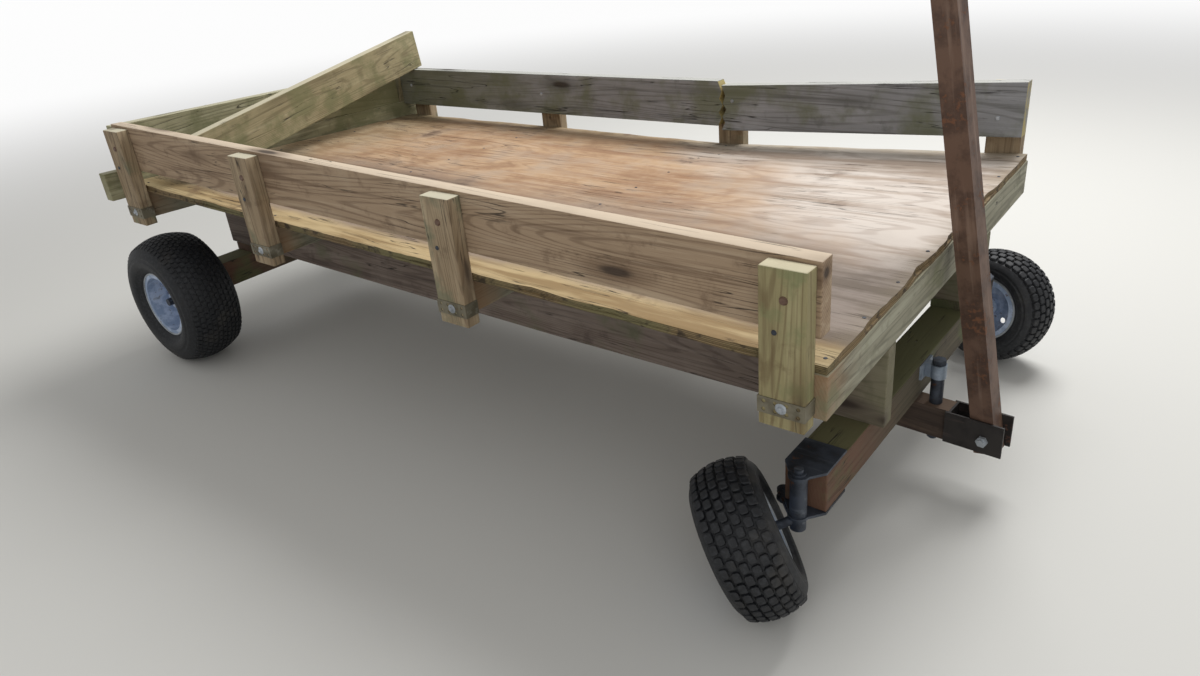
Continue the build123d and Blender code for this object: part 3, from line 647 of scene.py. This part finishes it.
# Wheels: pneumatic tyres of black rubber on pressed steel rims with chalky blue-grey paint, whose
# blue cast is partly painted sky light, bright steel lips and a rubber valve on each. The front
# tyres have small staggered knobs with round corners, and the wide rear ones a fine dense tread.
rubber, rubber_shader, spot = new_finish("tyre_rubber")
dust = speckle(spot, 9, 5, 0.65)
grit = speckle(spot, 120, 3, 0.6)
black = blended(paint(21, 23, 27), paint(38, 40, 44), between(grit, 0.45, 0.65))
black = blended(black, paint(78, 74, 68), between(dust, 0.52, 0.72) * 0.35)
settle(rubber_shader, black, 0.56 + dust * 0.1, grit * 0.5 + dust * 0.5, 0.0006)

rim_paint, rim_shader, spot = new_finish("rim_paint")
dirt = speckle(spot, 22, 5, 0.65)
chips = speckle(spot, 95, 3, 0.6)
# Rim paint: chalky blue-grey, and its blue cast is partly painted sky light.
chalk_and_sky_blue = blended(paint(146, 164, 192), paint(190, 204, 226), between(dirt, 0.4, 0.6))
chalk_and_sky_blue = blended(chalk_and_sky_blue, paint(92, 86, 80), between(dirt, 0.56, 0.7) * 0.7)
chalk_and_sky_blue = blended(chalk_and_sky_blue, paint(96, 60, 44), between(chips, 0.64, 0.7) * 0.8)
settle(rim_shader, chalk_and_sky_blue, 0.42 + dirt * 0.3, chips * 0.4 + dirt * 0.4, 0.0006)

knob_outline = (
    (1, 0.62), (0.68, 1), (-0.68, 1), (-1, 0.62), (-1, -0.62), (-0.68, -1), (0.68, -1), (1, -0.62),
)
wheel_kinds = {
    "front": {
        "radius": 0.165, "width": 0.145, "rim": 0.090, "lug": 0.009, "rows": 6, "around": 40, "fill": 0.78,
    },
    "rear": {
        "radius": 0.224, "width": 0.200, "rim": 0.111, "lug": 0.005, "rows": 10, "around": 66, "fill": 0.74,
    },
}
wall_steps = 18
cap_steps = 6
knob_sides = len(knob_outline)
knob_short = 0.0016
lip_round = 0.0032
lip_sides = 8
for end, side, steer, splay in (
    ("front", "right", -51, 22),
    ("front", "left", -13, 8),
    ("rear", "right", 0, 0),
    ("rear", "left", 0, 0),
):
    kind = wheel_kinds[end]
    label = f"{end}_{side}"
    tyre_low, tyre_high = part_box(f"tyre_{label}")
    hand = 1 if side == "left" else -1
    steer, splay = radians(steer), radians(splay)
    axle = Vector((-hand * sin(steer) * cos(splay), hand * cos(steer) * cos(splay), -sin(splay)))
    middle = (tyre_low + tyre_high) / 2
    lay = Matrix.Translation(middle) @ axle.to_track_quat("Z", "Y").to_matrix().to_4x4()

    half = kind["width"] / 2
    bead, tread = 0.74 * half, 0.84 * half
    crown = kind["radius"] - kind["lug"]
    drop = 0.09 * kind["radius"]
    shoulder = crown - drop
    belly = (kind["rim"] + shoulder) / 2
    wall = [(kind["rim"] - 0.013, bead), (kind["rim"], bead)]
    for step in range(1, wall_steps + 1):
        height = kind["rim"] + (shoulder - kind["rim"]) * step / wall_steps
        if height < belly:
            out = half - (half - bead) * ((belly - height) / (belly - kind["rim"])) ** 2
        else:
            out = half - (half - tread) * ((height - belly) / (shoulder - belly)) ** 2
        groove = 0.0012 if step in (3, 4, 11, 12) else 0.0
        wall.append((height, out - groove))
    cap = [
        (crown - drop * (across / cap_steps) ** 2, -across / cap_steps * tread)
        for across in range(1 - cap_steps, cap_steps)
    ]
    outline = wall + cap + [(height, -out) for height, out in reversed(wall)]
    ring = bmesh.new()
    verts = [ring.verts.new((height, 0, out)) for height, out in outline]
    edges = [ring.edges.new((verts[step - 1], verts[step])) for step in range(len(verts))]
    bmesh.ops.spin(
        ring,
        geom=verts + edges,
        cent=(0, 0, 0),
        axis=(0, 0, 1),
        angle=2 * pi,
        steps=80,
        use_merge=True,
    )
    pitch_around = 2 * pi / kind["around"]
    pitch_across = 2 * tread / kind["rows"]
    for row in range(kind["rows"]):
        row_z = -tread + (row + 0.5) * pitch_across
        for step in range(kind["around"]):
            angle = (step + 0.5 * (row % 2)) * pitch_around
            rings = []
            for size, rise in (
                (1.1, -0.0015),
                (1.0, 0.7 * kind["lug"]),
                (0.8, kind["lug"] - knob_short),
            ):
                loop = []
                for turn_part, side_part in knob_outline:
                    at_z = row_z + side_part * pitch_across / 2 * kind["fill"] * size
                    at = angle + turn_part * pitch_around / 2 * kind["fill"] * size
                    height = crown - drop * min(1, abs(at_z / tread)) ** 2 + rise
                    loop.append(ring.verts.new((height * cos(at), height * sin(at), at_z)))
                rings.append(loop)
            for inner, outer in zip(rings, rings[1:]):
                for corner in range(knob_sides):
                    after = (corner + 1) % knob_sides
                    ring.faces.new((inner[corner], inner[after], outer[after], outer[corner]))
            ring.faces.new(rings[-1])
            ring.faces.new(rings[0][::-1])
    bmesh.ops.recalc_face_normals(ring, faces=ring.faces)
    bmesh.ops.transform(ring, matrix=lay, verts=ring.verts)
    bmesh.ops.triangulate(ring, faces=ring.faces)
    finished(ring, f"tyre_{label}_rubber", rubber, f"wheel_{label}", (f"tyre_{label}",))

    rim_points = [lay.inverted() @ vert.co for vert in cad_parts[f"rim_{label}"].data.vertices]
    flange = max(point.xy.length for point in rim_points)
    lips = [point.z for point in rim_points if point.xy.length > flange - 0.001]
    lip = bmesh.new()
    for at_z in (min(lips), max(lips)):
        circle = []
        for step in range(lip_sides):
            angle = step * 2 * pi / lip_sides
            height = flange - 0.001 + lip_round * cos(angle)
            circle.append(lip.verts.new((height, 0, at_z + lip_round * sin(angle))))
        edges = [lip.edges.new((circle[step - 1], circle[step])) for step in range(lip_sides)]
        bmesh.ops.spin(
            lip,
            geom=circle + edges,
            cent=(0, 0, 0),
            axis=(0, 0, 1),
            angle=2 * pi,
            steps=72,
            use_merge=True,
        )
    bmesh.ops.recalc_face_normals(lip, faces=lip.faces)
    bmesh.ops.transform(lip, matrix=lay, verts=lip.verts)
    bmesh.ops.triangulate(lip, faces=lip.faces)
    finished(lip, f"rim_lips_{label}", bright_steel, f"wheel_{label}")

    valve = bmesh.new()
    valve_foot = max(lips) - 0.034
    for radius1, radius2, long, start in (
        (0.0055, 0.0045, 0.016, 0.0),
        (0.0035, 0.0035, 0.012, 0.014),
    ):
        bmesh.ops.create_cone(
            valve,
            cap_ends=True,
            segments=12,
            radius1=radius1,
            radius2=radius2,
            depth=long,
            matrix=lay @ Matrix.Translation((kind["rim"] - 0.026, 0, valve_foot + start + long / 2)),
        )
    bmesh.ops.triangulate(valve, faces=valve.faces)
    finished(valve, f"valve_{label}", rubber, f"wheel_{label}")

    node_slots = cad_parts[f"rim_{label}"].data.materials
    node_slots.clear()
    node_slots.append(rim_paint)
